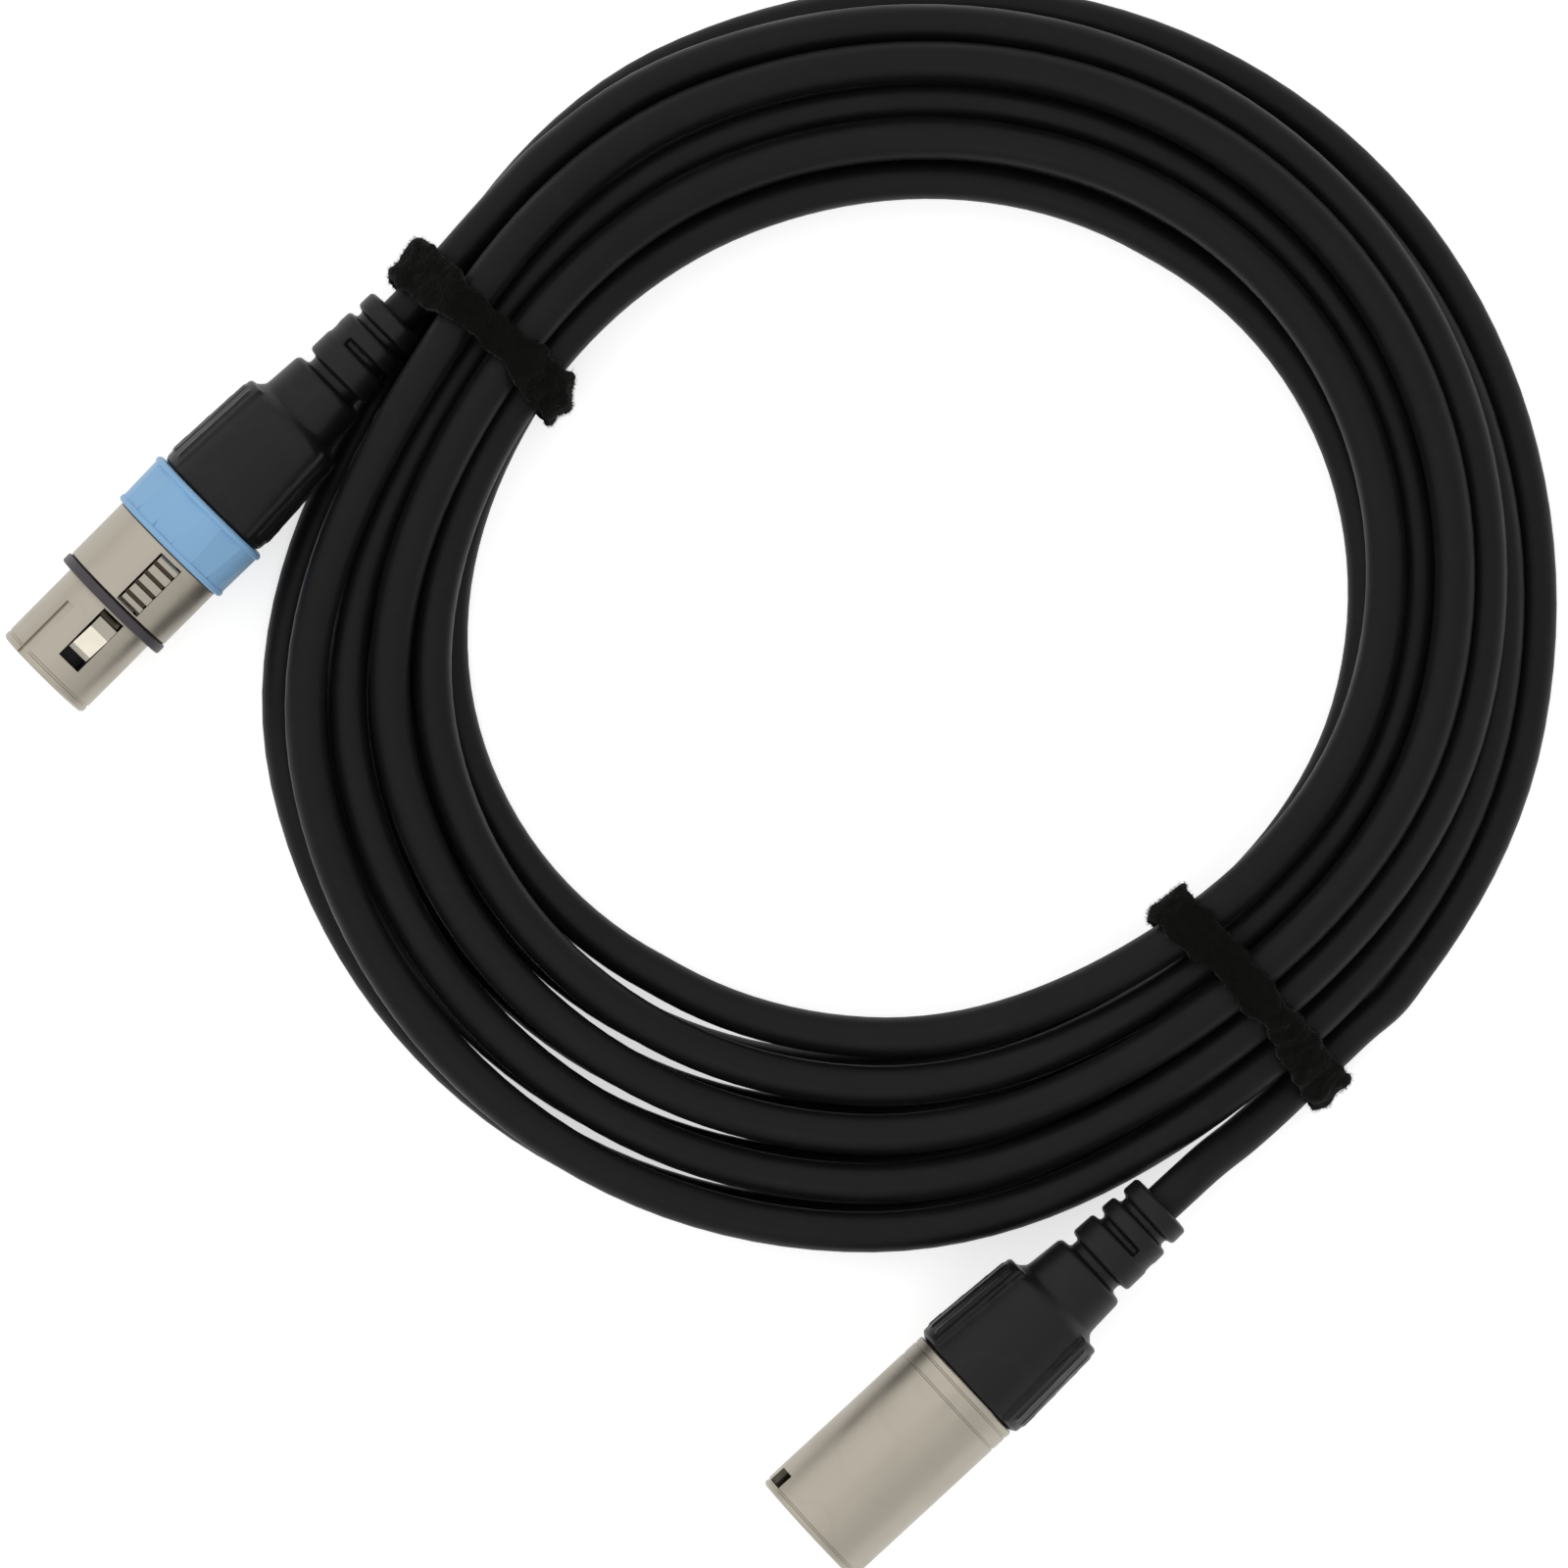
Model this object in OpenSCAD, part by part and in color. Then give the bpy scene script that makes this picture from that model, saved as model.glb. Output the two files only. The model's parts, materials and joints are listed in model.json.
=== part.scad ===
// XLR microphone cable, wound in a round coil and held by two ties.
// The origin is the middle of the coil, on the surface that it lies on.
// Connectors are drawn along their own X, from the mating tip towards the cable,
// with the latch on their own +Z, and are then laid beside the coil.

/* [Cable] */
// Outer diameter of the cable
cable_d = 5.9; // [5:0.1:7.1]
// Least gap between two turns of the coil
turn_gap = 0.5; // [0.42:0.02:0.7]
// Mean radius of the coil
coil_r = 76.3; // [62:0.1:92]
// How far the coil is out of round
coil_oval = 2.9; // [0:0.1:4.2]
// Diameter of an insulated conductor
lead_d = 1.5; // [1.2:0.1:1.8]

/* [Female connector] */
// Diameter of the nose that enters the other connector
nose_d = 15.8; // [15.6:0.05:16]
// Length of the nose, up to its ring
nose_len = 13.8; // [11.5:0.1:16.6]
// Thickness of the ring behind the nose
flange_t = 1.5; // [1.2:0.1:1.8]
// Diameter of the ring behind the nose
flange_d = 19.3; // [18.9:0.1:20.4]
// Diameter of the housing
body_d = 18.7; // [18.4:0.1:19.6]
// Distance from the nose ring to the coding ring
body_len = 10.55; // [10.2:0.05:12.7]
// Outer diameter of the coding ring
coding_d = 20.8; // [20:0.1:22]
// Length of the coding ring
coding_len = 8.65; // [7.2:0.05:10.4]
// Width of the latch lever
lever_w = 3.4; // [2.8:0.1:4]
// Angle that the latch swings through when it is pressed
latch_travel = 3.4; // [2:0.1:3.6]

/* [Male connector] */
// Outer diameter of the shell
shell_d = 19; // [18.8:0.1:20]
// Bore of the shell
shell_bore = 16.2; // [16.05:0.05:16.4]
// Length of the shell
shell_len = 31.2; // [30:0.1:37.5]
// Depth of the socket, from the rim to the insulator
socket_depth = 15.5; // [14.5:0.1:16]
// Width of the window that the latch drops into
window_w = 3.6; // [3.5:0.1:4.2]

/* [Contacts] */
// Diameter of a pin
pin_d = 2.4; // [2.2:0.05:2.6]
// Radius of the circle that the three contacts stand on
contact_circle = 4.9; // [4.7:0.05:5]
// Play between a pin and the bore of a socket contact
contact_play = 0.05; // [0.02:0.01:0.1]

/* [Boots] */
// Length of a boot
boot_len = 38.5; // [38:0.1:46]
// Radius of a boot where it meets the connector
boot_r = 9.35; // [9.2:0.05:9.8]
// Reach of the finger wings on the two sides of a boot
wing_reach = 10; // [9.6:0.1:10.4]
// Radius of the strain relief collars
collar_r = 5.2; // [4.9:0.1:6]

/* [Ties] */
// Width of a tie
tie_w = 8.4; // [7:0.1:10.1]
// Thickness of a tie
tie_t = 1.4; // [1:0.1:1.7]

/* [Hidden] */

fit = 0.05;               // play between pieces that seat in each other
seat = 0.3;               // distance from a soft piece to what it rests against
eps = 0.01;               // overshoot of a cutting solid
facets = 96;              // facets of a round surface
cable_r = cable_d / 2;

// Coil. The cable spirals in and out twice, in two levels. Its two levels of turns lie in
// each other's furrows: neighbours are one lane pitch apart across, and one step up or down.
lane = cable_d + turn_gap;      // least distance between the middles of two turns
leg = 2.25;                     // turns in each spiral, in or out
turns_from = 101.5;             // angle that the turns are counted from, clockwise
first_turn = 0.06;              // where the coil starts, in turns
last_turn = 9.5;                // where it ends
upper_tie_at = 100.5;           // angle of the upper tie
lower_tie_at = 267.5;           // angle of the lower tie
upper_slant = 7.5;              // lean of the upper tie, away from straight across
upper_nip_at = 109;             // angle where the female connector and its tie press the turns in
upper_nip = 3.2;                // how far they are pressed in there
upper_squeeze = 0.19;           // how much closer to each other, in lanes
lower_nip_at = 264;             // the same for the male connector
lower_nip = 2.4;
lower_squeeze = 0.06;
nip_reach = 42;                 // angle over which a press fades away
tie_lift = tie_t + seat;        // height of the lowest turn over the surface, in a tie
lift_flat = 10;                 // angle from a tie up to which the turns keep that height
lift_end = 22;                  // angle at which they are down on the surface
turn_rings = 24;                // rings in one turn
coil_sides = 6;
tail_sides = 10;

// Share of the way from 0 to 1 that a smooth ramp has gone at t, from t0 to t1
function ramp(t, t0, t1) = (1 - cos(180 * min(max((t - t0) / (t1 - t0), 0), 1))) / 2;
// Angle between two directions, 0 to 180
function apart(a, b) = abs(((a - b) % 360 + 540) % 360 - 180);
function angle_at(u) = turns_from - 360 * u;
function nip(a, at) = 1 - ramp(apart(a, at), 0, nip_reach);
// Lane pitch: the turns lie closer together on the side of the upper tie
function pitch(a) = lane * (
    0.925 + 0.14 * cos(a - 187.5) + 0.066 * cos(2 * (a - 33))
    - upper_squeeze * nip(a, upper_nip_at) - lower_squeeze * nip(a, lower_nip_at));
// Radius of the middle of the bundle
function middle_at(a) = coil_r + coil_oval * cos(2 * (a + 11.5))
    - upper_nip * nip(a, upper_nip_at) - lower_nip * nip(a, lower_nip_at);
// Height of one step: what a lane pitch leaves of the distance between two middles
soft = 0.122 * lane * lane;
function step_up(a) =
    let (x = lane * lane - pitch(a) * pitch(a))
    sqrt((x + sqrt(x * x + soft * soft)) / 2);
// Number of lanes from the innermost turn
function lane_at(u) =
    let (w = u % (2 * leg))
    u > 4 * leg ? u - 3 * leg : w < leg ? leg - w : w - leg;
function lift_at(a) = tie_lift * (
    1 - ramp(apart(a, upper_tie_at), lift_flat, lift_end)
    + 1 - ramp(apart(a, lower_tie_at), lift_flat, lift_end));
function radius_at(u) =
    let (a = angle_at(u))
    middle_at(a) + (2 * lane_at(u) - leg) * pitch(a);
function height_at(u) =
    let (
        a = angle_at(u),
        down = ramp(u, 2, 2.5),
        up = ramp(u, 4.45, 4.73),
        drop = ramp(u, 6.57, 6.9)
    )
    cable_r + lift_at(a) + (1 + up - 2 * drop) * step_up(a) + (1 - down + up - drop) * lane;
// Radius of the outermost lane at an angle
function edge_at(a) = middle_at(a) + leg * pitch(a);
function coil_point(u) =
    [radius_at(u) * cos(angle_at(u)), radius_at(u) * sin(angle_at(u)), height_at(u)];
function unit(v) = v / norm(v);
// Direction in which the cable runs at u
function coil_dir(u) = unit(coil_point(u + 0.002) - coil_point(u - 0.002));

// The ends of the coil run straight for one cable diameter
coil_in = coil_point(first_turn);
coil_out = coil_point(last_turn);
coil_in_dir = coil_dir(first_turn);
coil_out_dir = coil_dir(last_turn);
coil_start = coil_in - cable_d * coil_in_dir;
coil_end = coil_out + cable_d * coil_out_dir;
ring_count = ceil((last_turn - first_turn) * turn_rings);
coil_turns = [for (i = [0 : ring_count]) first_turn + (last_turn - first_turn) * i / ring_count];
coil_route = concat([coil_start], [for (u = coil_turns) coil_point(u)], [coil_end]);

// Female connector, from the tip
flange_x = nose_len;
body_x = flange_x + flange_t;
coding_x = body_x + body_len;
female_back = coding_x + coding_len;    // where the boot begins
nose_r = nose_d / 2;
nose_wall = 0.8;
insert_bore = nose_r - nose_wall;       // bore of the housing, where the insulator sits
ring_seat_r = nose_r - 0.3;             // seat of the ring behind the nose
insert_len = 23.2;
contact_r = 1.65;
contact_bore = pin_d / 2 + contact_play;
female_contact_x = 0.9;
contact_len = 13.2;
contact_body = 9.2;                     // solid part of a contact, behind its bore
cup_len = 4;                            // solder cup behind a contact
female_cup_x = female_contact_x + contact_len + contact_body;
cup_r = 1.3;
cup_wall = 0.35;
spigot_r = 7.6;                         // end of the housing that the boot screws over
spigot_len = 7;
chuck_bore = 6.6;                       // bore of that end, where the clamp sits
coding_seat_r = 8.7;

// Latch
pivot_x = female_back - 3.2;
pivot_z = 6.1;
pivot_d = 1.2;
knuckle_r = pivot_d / 2 + 0.55;
lever_t = 1;
lever_z = 5.6;                          // underside of the lever
channel_x = 4.1;                        // where the opening of the latch begins
tongue_x = 6;
tongue_len = 6.2;
tongue_top = nose_r - 0.15;
hook_x = 6.8;                           // where the ramp of the hook begins
hook_ramp = 3.5;
hook_rise = 0.75;
button_x = body_x + 0.75;
button_len = 8.7;
button_w = lever_w + 0.2;
button_top = body_d / 2 + 0.55;
channel_gap = 0.25;                     // room on each side of the latch
channel_floor = lever_z - (pivot_x - tongue_x) * sin(latch_travel) - 0.15;
spring_x = button_x + button_len / 2;
spring_d = 2;
spring_wire = 0.35;
spring_turns = 6;
spring_foot = 0.9;
groove_len = 10.4;                      // guide grooves along the nose
key_width = 1.2;                        // key of the male shell, in one of those grooves

// Male connector, from the tip
bore_r = shell_bore / 2;
male_insert_len = 6.5;
male_insert_x = socket_depth;
male_cup_x = male_insert_x + male_insert_len;
male_cup_len = 4;
pin_tip = 1.8;                          // how far the pins stand back from the rim
window_x = 2.4;
window_len = 2.6;
male_back = shell_len;
male_rear_bore = 7.1;

// Cable clamps, from where the boot begins
chuck_front = -1;
chuck_len = 13.5;
chuck_cone = 5.5;
chuck_r = chuck_bore - fit;
cable_bore = cable_r + fit;
cable_front = -1;                       // end of the jacket inside the connector

// Where the connectors lie, beside the coil. Each rests on its widest metal ring or rim and
// leans up to the height at which its cable passes over the edge of the coil.
upper_edge = edge_at(upper_tie_at);
lower_edge = edge_at(lower_tie_at);
// Height of a point that lies a number of lanes above the lowest turn
function lanes_up(n) = tie_lift + n * lane;
female_roll = 12.7;
female_yaw = 0.6;
female_pitch = asin((lanes_up(1.8875) - flange_d / 2) / (female_back + boot_len - flange_x));
female_tip = [-94.2, upper_edge - 0.41, flange_d / 2 - flange_x * sin(female_pitch)];
male_roll = -63;
male_yaw = -1.8;
male_pitch = asin((lanes_up(1.694) - shell_d / 2) / (male_back + boot_len));
male_tip = [-102.1, -lower_edge - 1, shell_d / 2];
function along(yaw, pitch) = [cos(pitch) * cos(yaw), cos(pitch) * sin(yaw), sin(pitch)];
female_dir = along(female_yaw, female_pitch);
male_dir = along(male_yaw, male_pitch);

// Tails. Points that the cable follows between the boots and the coil: along X, out from
// the edge of the coil, and up in lanes
female_exit = female_tip + female_dir * (female_back + boot_len);
male_exit = male_tip + male_dir * (male_back + boot_len);
female_points = [[-12, 0.5, 1.922], [-5, 1, 1.9], [2, 1.45, 1.86]];
male_points = [[-23, 3.6, 1.42], [-17, 4.3, 1.04], [-10, 4.7, 0.703], [-2, 4.8, 0.516], [6, 4.95, 0.469]];
female_route = concat(
    [female_exit, female_exit + 4 * female_dir],
    [for (p = female_points) [p.x, upper_edge + p.y, lanes_up(p.z)]],
    [coil_start]
);
male_route = concat(
    [male_exit, male_exit + 4 * male_dir],
    [for (p = male_points) [p.x, -lower_edge - p.y, lanes_up(p.z)]],
    [coil_end]
);

// Least distance from one turn to another, measured between the middles of all its rings
turn_distance = min([
    for (i = [0 : ring_count - 12])
        for (j = [i + 12 : ring_count])
            norm(coil_point(coil_turns[i]) - coil_point(coil_turns[j]))
]);
coil_length = length_of(coil_route);
function length_of(points, i = 1) =
    i >= len(points) ? 0 : norm(points[i] - points[i - 1]) + length_of(points, i + 1);
echo(least_gap_of_the_coil = turn_distance - cable_d, length_of_the_coil = coil_length);

// ---------------------------------------------------------------- shared shapes

// Ring of points around a middle, square to a direction, with a corner at the bottom
function tube_ring(middle, dir, r, sides) =
    let (side = unit([-dir.y, dir.x, 0]), up = cross(dir, side))
    [for (k = [0 : sides - 1])
        let (a = 360 * k / sides - 90)
        middle + r * (cos(a) * side + sin(a) * up)];

// One unbroken tube along a route, with its two ends square to the route
module tube(route, r, sides, start_dir, end_dir) {
    n = len(route);
    dirs = [for (i = [0 : n - 1])
        i == 0 ? start_dir : i == n - 1 ? end_dir : unit(route[i + 1] - route[i - 1])];
    points = [for (i = [0 : n - 1]) each tube_ring(route[i], dirs[i], r, sides)];
    walls = [for (i = [0 : n - 2]) for (k = [0 : sides - 1])
        let (a = i * sides + k, b = i * sides + (k + 1) % sides)
        each [[a, a + sides, b], [b, a + sides, b + sides]]];
    first_cap = [for (k = [1 : sides - 2]) [0, k, k + 1]];
    last = (n - 1) * sides;
    last_cap = [for (k = [1 : sides - 2]) [last, last + k + 1, last + k]];
    polyhedron(points, concat(walls, first_cap, last_cap), convexity = 10);
}

// Solid turned about X from an outline of [x, radius] points
module turned(outline) {
    rotate([0, 90, 0])
        rotate_extrude($fn = facets)
            polygon([for (p = outline) [p[1], p[0]]]);
}

// Round bar or hole along X
module bar(x, length, r) {
    translate([x, 0, 0])
        rotate([0, 90, 0])
            cylinder(h = length, r = r, $fn = facets);
}

// Block along X, centred on Y, from z0 to z1
module block(x0, x1, width, z0, z1) {
    translate([x0, -width / 2, z0])
        cube([x1 - x0, width, z1 - z0]);
}

// The place of contact number n on its circle: 1 and 2 flank the latch, 3 is opposite.
// The male connector, face -1, is the mirror of the female one, face 1.
function contact_place(n, face) =
    let (a = n == 3 ? 270 : n == 1 ? 30 : 150)
    contact_circle * [0, face * cos(a), sin(a)];

// Lays a piece of a connector beside the coil, turned about its own axis by roll
module on_female(roll = female_roll) {
    translate(female_tip)
        rotate([0, -female_pitch, female_yaw])
            rotate([roll, 0, 0])
                children();
}

module on_male(roll = male_roll) {
    translate(male_tip)
        rotate([0, -male_pitch, male_yaw])
            rotate([roll, 0, 0])
                children();
}

// ---------------------------------------------------------------- cable

module cable_coil() {
    color([0.12, 0.12, 0.13])
        tube(coil_route, cable_r, coil_sides, coil_in_dir, coil_out_dir);
}

module female_tail() {
    color([0.12, 0.12, 0.13])
        tube(female_route, cable_r, tail_sides, female_dir, coil_in_dir);
}

module male_tail() {
    color([0.12, 0.12, 0.13])
        tube(male_route, cable_r, tail_sides, male_dir, -coil_out_dir);
}

module cable_end(back) {
    color([0.12, 0.12, 0.13])
        bar(back + cable_front, boot_len - cable_front, cable_r);
}

// Conductor, or the twisted screen, from a solder cup to the end of the jacket
module lead(n, face, cup_end, jacket_x) {
    place = contact_place(n, face);
    inner = place * (lead_d / 2 + 0.1) / (contact_circle * cos(30));
    color(n == 1 ? "silver" : n == 2 ? "crimson" : "white")
        tube([
            place + [cup_end + fit, 0, 0],
            place + [cup_end + 1, 0, 0],
            inner + [jacket_x - 1, 0, 0],
            inner + [jacket_x - fit, 0, 0]
        ], lead_d / 2, 8, [1, 0, 0], [1, 0, 0]);
}

module female_lead(n) {
    lead(n, 1, female_cup_x + cup_len, female_back + cable_front);
}

module male_lead(n) {
    lead(n, -1, male_cup_x + male_cup_len, male_back + cable_front);
}

// ---------------------------------------------------------------- female connector

// Room that the latch moves in: open through the nose and under the button
module latch_channel(width) {
    block(channel_x, flange_x - 0.3, width, channel_floor, nose_r + 2);
    block(flange_x - 1, pivot_x - 2, width, channel_floor, lever_z + lever_t + 0.2);
    block(pivot_x - 2, pivot_x + 1.8, width, channel_floor, pivot_z + knuckle_r + 0.2);
    block(button_x - channel_gap, button_x + button_len + channel_gap,
        button_w + 2 * channel_gap, channel_floor, body_d);
}

module female_housing() {
    width = lever_w + 2 * channel_gap;
    color([0.72, 0.69, 0.64])
        difference() {
            turned([
                [0, insert_bore], [0, nose_r - 0.35], [0.35, nose_r],
                [1, nose_r], [1.1, nose_r - 0.12], [1.35, nose_r - 0.12], [1.45, nose_r],
                [flange_x, nose_r], [flange_x, ring_seat_r],
                [body_x, ring_seat_r], [body_x, body_d / 2 - 0.3], [body_x + 0.3, body_d / 2],
                [coding_x - 0.2, body_d / 2], [coding_x, body_d / 2 - 0.2],
                [coding_x, coding_seat_r], [female_back, coding_seat_r],
                [female_back, spigot_r], [female_back + spigot_len - 0.5, spigot_r],
                [female_back + spigot_len, spigot_r - 0.5],
                [female_back + spigot_len, chuck_bore], [female_back - 6, chuck_bore],
                [female_back - 7, insert_bore]
            ]);
            latch_channel(width);
            // hole for the hinge pin
            translate([pivot_x, 0, pivot_z])
                rotate([90, 0, 0])
                    cylinder(h = 2 * coding_seat_r, r = pivot_d / 2 + fit, center = true, $fn = 48);
            // guide groove along the nose
            rotate([-45, 0, 0])
                block(-eps, groove_len, key_width + 0.4, nose_r - 0.4, nose_r + 1);
            // guide groove opposite
            rotate([150, 0, 0])
                block(-eps, groove_len, 1.2, nose_r - 0.4, nose_r + 1);
        }
}

module flange_ring() {
    inner = ring_seat_r + fit;
    outer = flange_d / 2;
    back = body_x - fit;
    bevel = 0.15;
    color([0.27, 0.26, 0.29])
        turned([
            [flange_x, inner], [flange_x, outer - bevel], [flange_x + bevel, outer],
            [back - bevel, outer], [back, outer - bevel], [back, inner]
        ]);
}

// Plastic ring with a raised rim at each end and shallow flats between them
module coding_ring() {
    inner = coding_seat_r + fit;
    outer = coding_d / 2;
    rim = 0.8;
    front = coding_x + fit;
    back = female_back - fit;
    color([0.45, 0.68, 0.86])
        difference() {
            turned([
                [front, inner], [front, outer - 0.45], [front + 0.25, outer - 0.2],
                [front + rim, outer - 0.2], [front + rim + 0.15, outer - 0.4],
                [back - rim - 0.15, outer - 0.25], [back - rim, outer], [back - 0.3, outer],
                [back, outer - 0.35], [back, inner]
            ]);
            for (a = [0 : 45 : 315])
                rotate([a + 22.5, 0, 0])
                    block(front + rim + 0.15, back - rim - 0.15, 2 * outer, outer - 0.55, outer + 1);
        }
}

module female_insert() {
    width = lever_w + 2 * channel_gap + 0.2;
    hole_r = contact_r + fit;
    color([0.13, 0.13, 0.14])
        difference() {
            turned([
                [0.5, 0], [0.5, insert_bore - fit - 0.3], [0.8, insert_bore - fit],
                [insert_len, insert_bore - fit], [insert_len, 0]
            ]);
            for (n = [1 : 3])
                translate(contact_place(n, 1))
                    turned([
                        [0, 0], [0, hole_r + 0.7], [0.7, hole_r],
                        [insert_len + 1, hole_r], [insert_len + 1, 0]
                    ]);
            block(channel_x - 0.1, insert_len + 1, width, channel_floor - 0.1, nose_r);
            // pocket of the latch spring
            translate([spring_x, 0, spring_foot - spring_wire / 2 - fit])
                cylinder(h = nose_r, r = spring_d / 2 + 0.1, $fn = 48);
        }
}

// Socket contact: split sleeve in front, solder cup behind
module female_contact(n) {
    sleeve_x = female_contact_x;
    cup_x = female_cup_x;
    color([0.83, 0.71, 0.42])
        translate(contact_place(n, 1))
            difference() {
                turned([
                    [sleeve_x, 0], [sleeve_x, contact_r - 0.2], [sleeve_x + 0.2, contact_r],
                    [cup_x, contact_r], [cup_x, cup_r], [cup_x + cup_len, cup_r], [cup_x + cup_len, 0]
                ]);
                bar(sleeve_x - eps, contact_len, contact_bore);
                bar(cup_x, cup_len + eps, cup_r - cup_wall);
                // slot of the sleeve
                block(sleeve_x - eps, sleeve_x + 9, 0.4, -contact_r - 1, 0);
                // open side of the solder cup
                block(cup_x + cup_len - 3.5, cup_x + cup_len + eps, 2 * cup_r + 1, 0.5, cup_r + 1);
            }
}

// Spring steel lever: hook on the tongue in front, knuckle behind
module latch_lever() {
    bend_x = tongue_x + tongue_len;
    color([0.66, 0.64, 0.6])
        difference() {
            union() {
                translate([0, lever_w / 2, 0])
                    rotate([90, 0, 0])
                        linear_extrude(lever_w)
                            polygon([
                                [tongue_x, tongue_top - 1.2], [tongue_x, tongue_top - 0.2],
                                [tongue_x + 0.4, tongue_top], [hook_x, tongue_top],
                                [hook_x + hook_ramp, tongue_top + hook_rise],
                                [bend_x, tongue_top + hook_rise], [bend_x, tongue_top - 0.4],
                                [bend_x + 1.2, lever_z + lever_t], [pivot_x, lever_z + lever_t],
                                [pivot_x, lever_z], [bend_x, lever_z],
                                [bend_x - 1.2, tongue_top - 1.2]
                            ]);
                translate([pivot_x, 0, pivot_z])
                    rotate([90, 0, 0])
                        cylinder(h = lever_w, r = knuckle_r, center = true, $fn = 48);
            }
            translate([pivot_x, 0, pivot_z])
                rotate([90, 0, 0])
                    cylinder(h = lever_w + 1, r = pivot_d / 2 + fit, center = true, $fn = 48);
        }
}

// Push button with grooves across it
module push_button() {
    groove = 0.7;
    groove_depth = 0.8;
    grooves = 4;
    groove_step = (button_len - 1.1) / grooves;
    color([0.74, 0.72, 0.67])
        difference() {
            translate([0, button_w / 2, 0])
                rotate([90, 0, 0])
                    linear_extrude(button_w)
                        polygon([
                            [button_x, lever_z + lever_t], [button_x, button_top - 0.7],
                            [button_x + 0.5, button_top], [button_x + button_len - 0.3, button_top],
                            [button_x + button_len, button_top - 0.3],
                            [button_x + button_len, lever_z + lever_t]
                        ]);
            for (i = [0 : grooves - 1])
                let (x = button_x + 1.25 + groove_step * i)
                block(x, x + groove, button_w + 1, button_top - groove_depth, button_top + 1);
        }
}

module latch_pin() {
    color([0.6, 0.6, 0.6])
        translate([pivot_x, 0, pivot_z])
            rotate([90, 0, 0])
                cylinder(h = lever_w + 6, r = pivot_d / 2, center = true, $fn = 48);
}

// Compression spring in a pocket of the insulator, under the button
module latch_spring() {
    top = lever_z - spring_wire / 2 - fit;
    mid_r = (spring_d - spring_wire) / 2;
    steps = 8 * spring_turns;
    route = [for (i = [0 : steps])
        [spring_x + mid_r * cos(45 * i), mid_r * sin(45 * i),
            spring_foot + (top - spring_foot) * i / steps]];
    color([0.7, 0.7, 0.72])
        tube(route, spring_wire / 2, 6, unit(route[1] - route[0]), unit(route[steps] - route[steps - 1]));
}

// ---------------------------------------------------------------- male connector

module male_shell() {
    outer = shell_d / 2;
    step_x = male_insert_x + male_insert_len;
    groove = 0.12;
    color([0.72, 0.69, 0.64])
        difference() {
            turned([
                [0, bore_r + 0.3], [0, outer - 0.4], [0.3, outer - 0.1],
                [0.8, outer - 0.1], [0.9, outer - 0.2], [1.1, outer - 0.2], [1.2, outer],
                [male_back - 3.8, outer], [male_back - 3.7, outer - groove],
                [male_back - 3.5, outer - groove], [male_back - 3.4, outer],
                [male_back - 1.4, outer], [male_back - 1.3, outer - groove],
                [male_back - 1.1, outer - groove], [male_back - 1, outer],
                [male_back - 0.2, outer], [male_back, outer - 0.2],
                [male_back, spigot_r], [male_back + spigot_len - 0.5, spigot_r],
                [male_back + spigot_len, spigot_r - 0.5],
                [male_back + spigot_len, chuck_bore], [male_back - 6, chuck_bore],
                [male_back - 7, male_rear_bore], [step_x, male_rear_bore],
                [step_x, bore_r], [0.3, bore_r]
            ]);
            // window that the latch of the other connector drops into
            block(window_x - window_len / 2, window_x + window_len / 2, window_w, bore_r - 1, outer + 1);
        }
    // key that enters the groove of the other connector's nose
    color([0.72, 0.69, 0.64])
        rotate([45, 0, 0])
            block(1.5, groove_len - 0.9, key_width, bore_r - 0.35, bore_r + 0.5);
}

module male_insert() {
    color([0.13, 0.13, 0.14])
        difference() {
            turned([
                [male_insert_x, 0], [male_insert_x, bore_r - fit],
                [male_insert_x + male_insert_len - fit, bore_r - fit],
                [male_insert_x + male_insert_len - fit, 0]
            ]);
            for (n = [1 : 3])
                translate(contact_place(n, -1))
                    bar(male_insert_x - 1, male_insert_len + 2, contact_r + fit);
        }
}

// Pin with a rounded tip, a collar in the insulator and a solder cup
module male_pin(n) {
    pin_r = pin_d / 2;
    collar_x = male_insert_x + 0.1;
    cup_x = male_cup_x;
    color([0.8, 0.79, 0.76])
        translate(contact_place(n, -1))
            difference() {
                turned([
                    [pin_tip, 0], [pin_tip + 0.1, pin_r * 0.45], [pin_tip + 0.5, pin_r * 0.85],
                    [pin_tip + 1.1, pin_r], [collar_x, pin_r], [collar_x, contact_r],
                    [cup_x, contact_r], [cup_x, cup_r], [cup_x + male_cup_len, cup_r],
                    [cup_x + male_cup_len, 0]
                ]);
                bar(cup_x + 1, male_cup_len, cup_r - cup_wall);
                block(cup_x + 1.5, cup_x + male_cup_len + eps, 2 * cup_r + 1, 0.5, cup_r + 1);
            }
}

// Spring leaf that grounds the shell, against the back of the insulator
module ground_spring() {
    back = male_insert_x + male_insert_len;
    color([0.8, 0.79, 0.76])
        difference() {
            turned([
                [back + fit, male_rear_bore - 0.7], [back + fit, male_rear_bore - fit],
                [back + 1.4, male_rear_bore - fit], [back + 1.4, male_rear_bore - 0.7]
            ]);
            for (a = [0 : 60 : 120])
                rotate([a, 0, 0])
                    block(back + 0.6, back + 2, 1.2, -bore_r, bore_r);
        }
}

// ---------------------------------------------------------------- clamp and boot

// Split clamp that grips the jacket when the boot is screwed home
module chuck() {
    color([0.18, 0.18, 0.2])
        difference() {
            turned([
                [chuck_front, cable_bore], [chuck_front, chuck_r],
                [chuck_len - chuck_cone + chuck_front, chuck_r],
                [chuck_len + chuck_front, cable_bore + 1], [chuck_len + chuck_front, cable_bore]
            ]);
            for (a = [0, 90])
                rotate([a, 0, 0])
                    block(chuck_front + 4, chuck_front + chuck_len + 1, 0.8, -chuck_r - 1, chuck_r + 1);
        }
}

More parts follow.
